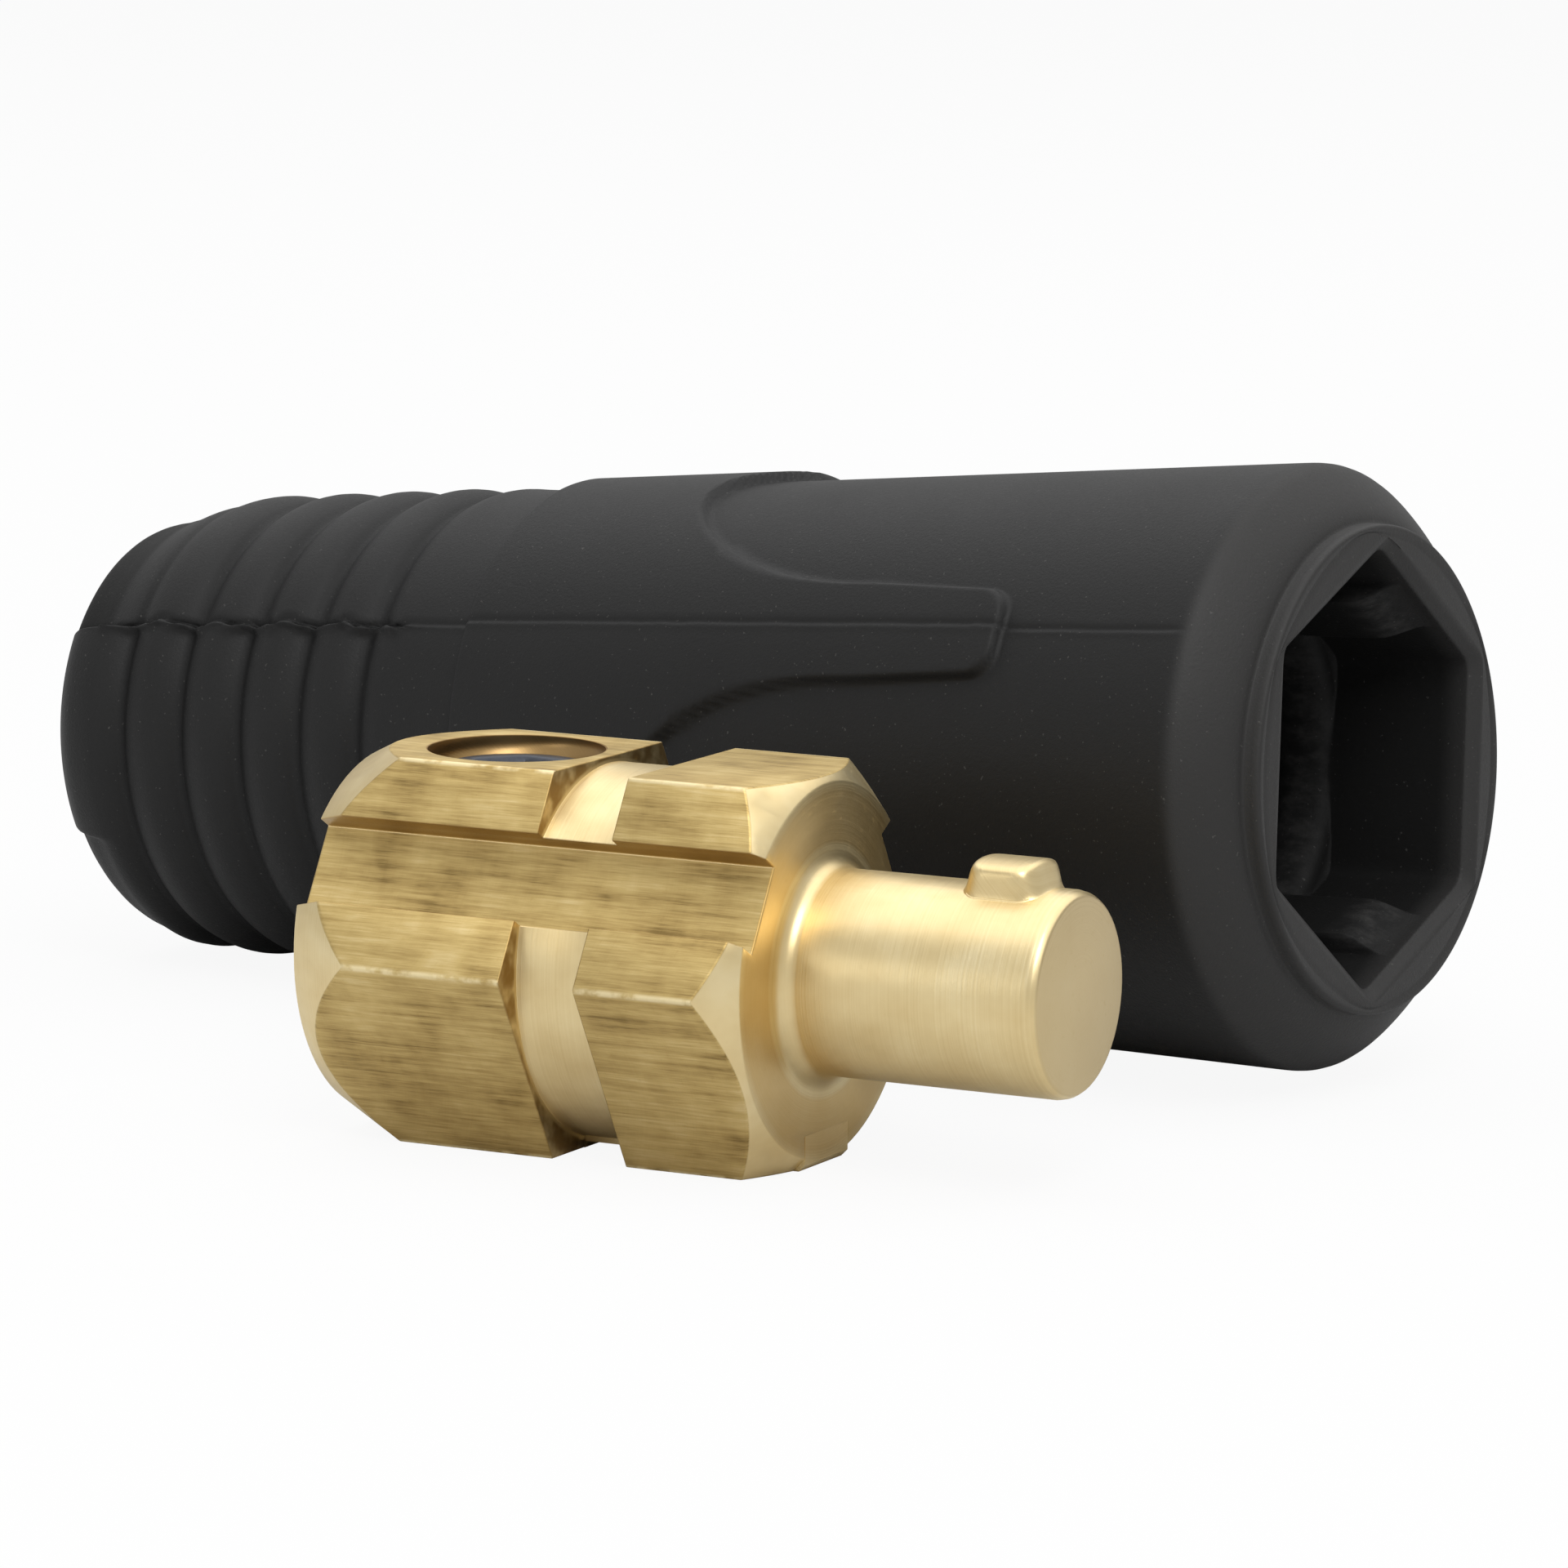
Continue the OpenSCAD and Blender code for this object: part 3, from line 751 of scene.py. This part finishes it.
flat_a, flat_b, flat_c = [abs(across(a)[0]) for a in (90, 30, 150)]
largest = flat_a.larger(flat_b).larger(flat_c)
second = flat_a.smaller(flat_b).larger(flat_b.smaller(flat_c)).larger(flat_a.smaller(flat_c))
on_flat = largest.ramp(8.42, 8.47)
corner = second.ramp(8.30, 8.44) * on_flat
# The second list masks the slot walls, which get painted shade: they are painted dark brown.
slot_marks, slot_wall_shade = [], []
for a in (30, 150):
    out, sideways = across(a)
    slot_marks.append(out.near(slot_floor, 0.06) * abs(sideways).ramp(2.0, 1.9))
    slot_wall_shade.append(abs(sideways).near(slot_width / 2, 0.07) * out.ramp(7.02, 7.12))
in_slot = slot_marks[0].larger(slot_marks[1]) * x.ramp(15.6, 15.3)
drawn = on_flat.larger(in_slot) * x.ramp(15.6, 15.3)
streak = noise(wire, place, 2.0, 5.0, 0.65, (0.045, 1, 1))
fine_streak = noise(wire, place, 10.0, 3.0, 0.7, (0.045, 1, 1))
blotch = noise(wire, place, 0.35, 3.0, 0.55)
speck = noise(wire, place, 3.5, 2.0, 0.5)
rings_noise = wire.node("ShaderNodeTexNoise", {"noise_dimensions": "1D"},
                        {"W": (x + radius) * 9.0, "Scale": 1.0, "Detail": 4.0, "Roughness": 0.6})
olive = streak.node("ShaderNodeValToRGB", {"stops": [
    (0.38, (0.255, 0.172, 0.062)), (0.46, (0.460, 0.328, 0.126)), (0.56, (0.600, 0.450, 0.188)),
    (0.68, (0.740, 0.600, 0.320))]}, {"Fac": streak * 0.40 + fine_streak * 0.27 + blotch * 0.35})
gold = blotch.node("ShaderNodeValToRGB", {"stops": [
    (0.30, (0.680, 0.525, 0.265)), (0.55, (0.770, 0.625, 0.345)), (0.75, (0.840, 0.715, 0.440))]},
    {"Fac": blotch * 0.7 + rings_noise * 0.3})
wall = radius.ramp(groove_radius + 0.05, groove_radius + 0.25) * (
    x.near(groove_front, 0.09).larger(x.near(groove_rear, 0.09)))
# The groove walls are stained dark; the slot walls added here are painted shade, not a stained surface.
stain_and_slot_shade = wall * noise(wire, place, 0.9, 2.0).ramp(0.25, 0.6)
stain_and_slot_shade = stain_and_slot_shade.larger(slot_wall_shade[0].larger(slot_wall_shade[1]) * 0.8)
bare = drawn.mix(gold, olive)
edged = (corner * noise(wire, place, 1.2, 3.0).ramp(0.35, 0.6) * 0.8).mix(bare, (0.86, 0.74, 0.46))
colour = stain_and_slot_shade.mix(edged, (0.34, 0.215, 0.075))
# Painted shade: the end face of the pin is painted darker.
tip_face_shade = x.ramp(pin_tip - 0.12, pin_tip - 0.02)
colour = (tip_face_shade * 0.8).mix(colour, (0.56, 0.44, 0.24))
# Painted dark reflection: the front face of the hexagon is painted a darker orange.
front_face_dark_reflection = x.near(bar_front - 0.05, 0.12) * radius.ramp(pin_radius + 0.9, pin_radius + 1.2)
colour = (front_face_dark_reflection * radius.ramp(8.3, 7.6) * 0.75).mix(colour, (0.62, 0.40, 0.13))
hole_reach = (x * x + y * y).root()
# Painted shade: the wall of the screw hole is painted dark brown; the same mask also carries the thread
# bump.
hole_wall = hole_reach.ramp(3.99, 3.93) * z.ramp(2.0, 2.6)
colour = (hole_wall * 0.85).mix(colour, (0.30, 0.17, 0.055))
hole_turn = y.math("ARCTAN2", y, x) / (2 * math.pi)
hole_thread = ((z / thread_pitch + hole_turn) * (2 * math.pi)).sin() * hole_wall
rough = drawn * (0.08 + streak * 0.12) + 0.32 + rings_noise * 0.12 + speck.ramp(0.62, 0.75) * 0.08
relief = drawn * (streak * 0.5 + fine_streak * 0.5) * 2.2 + (1 - drawn) * rings_noise * 1.0
relief = relief + hole_thread * 12.0
end_finish(tree, wire, {"Metallic": 1.0}, {
    "Base Color": colour, "Roughness": rough, "Normal": bump(wire, relief, 0.012, 0.55)})
print("brass:", len(tree.nodes), "nodes")

# %% Rubber: near black, finely grained, with dust, rubbing wear, and painted light and shade
tree, wire, place = start_finish(rubber)
grain = noise(wire, place, 7.0, 4.0, 0.7)
cloud = noise(wire, place, 0.18, 3.0, 0.5)
dust = noise(wire, place, 6.5, 1.0, 0.4).ramp(0.73, 0.78)
tone = cloud.mix((0.0060, 0.0060, 0.0061), (0.0100, 0.0100, 0.0100))
mould = wire.node("ShaderNodeAttribute", {"attribute_name": "mould_place"}, out=1)
mould_x, mould_y, mould_z = mould.split()
depth = 0 - mould_x
reach = (mould_y * mould_y + mould_z * mould_z).root()
inside = depth.ramp(0.6, 2.0) * reach.ramp(10.3, 10.1)
smear = noise(wire, place, 1.6, 4.0, 0.65, (0.5, 1, 1))
on_ring = depth.near(9.0, 2.0) * reach.ramp(9.3, 8.7) * inside
on_key = depth.near(2.6, 1.9) * reach.ramp(8.7, 8.45) * inside
# Painted light: the nose is painted lighter where light falls on it. The snap ring and keys get lighter
# marks that are partly rubbing wear and partly painted highlight.
nose_painted_light = depth.ramp(3.6, 2.8) * (1 - inside)
rubbed_and_lit = on_ring.larger(on_key)
scuff_and_painted_light = (nose_painted_light * 0.55 + rubbed_and_lit * smear.ramp(0.36, 0.74) * 0.9).smaller(1.0)
# Painted shade: the inside of the socket is painted darker, less so on the lighter snap ring and keys.
tone = (inside * (1 - rubbed_and_lit * 0.8) * 0.75).mix(tone, (0.0028, 0.0028, 0.0026))
# Painted shade: the valleys between the ribs are painted darker.
rib_phase = (depth - last_groove) / groove_pitch
valley_shade = abs((rib_phase + 0.5).modulo(1.0) - 0.5).ramp(0.13, 0.03)
valley_shade = valley_shade * rib_phase.ramp(-0.3, -0.2) * rib_phase.ramp(4.3, 4.2) * (1 - inside)
tone = (valley_shade * 0.8).mix(tone, (0.0018, 0.0018, 0.0018))
# The lighter colour is painted light on the nose, and rubbing wear with a painted highlight on the ring and
# keys.
tone = scuff_and_painted_light.mix(tone, (0.034, 0.033, 0.032))
# Painted shade: a dark line is painted along the parting crease, strongest on the ribs.
parting = math.radians(parting_turn)
seam_shade = abs(mould_z * math.cos(parting) - mould_y * math.sin(parting) + 0.1)
seam_shade = seam_shade.ramp(0.26, 0.08) * (depth.ramp(44.0, 48.0) * 0.6 + 0.25) * (1 - inside) * depth.ramp(4.0, 6.0)
tone = seam_shade.mix(tone, (0.0015, 0.0015, 0.0015))
colour = (dust * 0.45).mix(tone, (0.085, 0.083, 0.078))
rough = 0.42 + grain * 0.16 + cloud * 0.08 + inside * 0.14
end_finish(tree, wire, {"Specular IOR Level": 0.26}, {
    "Base Color": colour, "Roughness": rough, "Normal": bump(wire, grain, 0.04, 0.6)})
print("rubber:", len(tree.nodes), "nodes")

# %% Screw: blued steel with worn crests
tree, wire, place = start_finish(screw_steel)
x, y, z = [w / MM for w in place.split()]
reach = ((x - contact_axis.x) * (x - contact_axis.x) + (y - contact_axis.y) * (y - contact_axis.y)).root()
scratch = noise(wire, place, 3.0, 4.0, 0.65)
worn = reach.ramp(3.72, 3.84) * scratch.ramp(0.4, 0.6)
colour = worn.mix(scratch.mix((0.028, 0.031, 0.040), (0.070, 0.076, 0.092)), (0.42, 0.43, 0.45))
end_finish(tree, wire, {"Metallic": 0.85}, {
    "Base Color": colour, "Roughness": 0.30 + scratch * 0.2, "Normal": bump(wire, scratch, 0.02, 0.4)})
print("screw steel:", len(tree.nodes), "nodes")

# %% [markdown]
# ## Table, light and camera
# A pale sweep of a table, soft lamps at a plain level, and a long lens: the photograph was
# taken from about a third of a metre with a narrow view, so shapes hardly shrink with distance.

# %% The table and the world
def pale_stage(name, colour, glow):
    """White to the camera and in reflections, and still dark enough to keep a shadow."""
    material = bpy.data.materials.new(name)
    material.use_nodes = True
    tree = material.node_tree
    tree.nodes.clear()
    wire = Wire(tree)
    matt = wire.node("ShaderNodeBsdfDiffuse", inputs={"Color": (*colour, 1)})
    light = wire.node("ShaderNodeEmission", inputs={"Color": (1, 1, 1, 1), "Strength": 1.0})
    seen = wire.node("ShaderNodeLightPath", out="Is Camera Ray")
    blend = wire.node("ShaderNodeMixShader", inputs={0: seen * glow, 1: matt, 2: light})
    tree.links.new(blend.socket, tree.nodes.new("ShaderNodeOutputMaterial").inputs[0])
    return material


table_mesh = bpy.data.meshes.new("table_top")
half = 3.0
corners = [(-half, -half, 0), (half, -half, 0), (half, half, 0), (-half, half, 0)]
table_mesh.from_pydata(corners, [], [(0, 1, 2, 3)])
table_mesh.materials.append(pale_stage("pale_table", (0.62, 0.62, 0.62), 0.92))
table = add_object("table_top", table_mesh)
table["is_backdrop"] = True

world = bpy.data.worlds.new("soft_room")
bpy.context.scene.world = world
world.use_nodes = True
wire = Wire(world.node_tree)
path = wire.node("ShaderNodeLightPath", out="Is Camera Ray")
background = world.node_tree.nodes["Background"]
strength = path * 0.38 + 0.62
world.node_tree.links.new(strength.socket, background.inputs["Strength"])
background.inputs["Color"].default_value = (1, 1, 1, 1)


def soft_lamp(name, place, aim, size, power):
    light = bpy.data.lights.new(name, "AREA")
    light.shape, light.size, light.energy = "SQUARE", size, power
    lamp = add_object(name, light)
    lamp.location = Vector(place)
    lamp.rotation_euler = (Vector(aim) - Vector(place)).to_track_quat("-Z", "Y").to_euler()
    return lamp


soft_lamp("lamp_above", (-0.02, 0.12, 0.48), (0, 0.01, 0.01), 0.85, 2.5)
soft_lamp("lamp_low", (-0.20, -0.43, 0.13), (0.01, -0.01, 0.01), 0.14, 0.12)
soft_lamp("lamp_front", (0.26, -0.30, 0.44), (0.03, 0.0, 0.01), 0.28, 1.5)
print("table and lamps are set")

# %% The camera, as fitted to the photograph
camera_data = bpy.data.cameras.new("photo_camera")
camera = add_object("photo_camera", camera_data)
sensor, focal_pixels, photo_pixels = 36.0, 9928.7, 1920
camera_data.sensor_width, camera_data.lens = sensor, sensor * focal_pixels / photo_pixels
camera_data.clip_start, camera_data.clip_end = 0.01, 20
yaw, pitch, roll = (math.radians(a) for a in (-27.38227, -8.94112, 0.47834))
ahead = Vector((math.cos(pitch) * math.sin(yaw), math.cos(pitch) * math.cos(yaw), math.sin(pitch)))
right = Vector((math.cos(yaw), -math.sin(yaw), 0))
above = right.cross(ahead)
right, above = (right * math.cos(roll) + above * math.sin(roll),
                above * math.cos(roll) - right * math.sin(roll))
stand = Vector((171.7337 + contact_axis.x, -306.1004 + contact_axis.y, 70.696)) * MM
camera.matrix_world = Matrix((
    (right.x, above.x, -ahead.x, stand.x), (right.y, above.y, -ahead.y, stand.y),
    (right.z, above.z, -ahead.z, stand.z), (0, 0, 0, 1)))
bpy.context.scene.camera = camera
bpy.context.scene.view_settings.view_transform = "Standard"
print("lens:", round(camera_data.lens, 1), "mm")

# %% Print the size of the dressed part
low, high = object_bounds()
print("visual box", [round(v / MM, 2) for v in (*low, *high)])
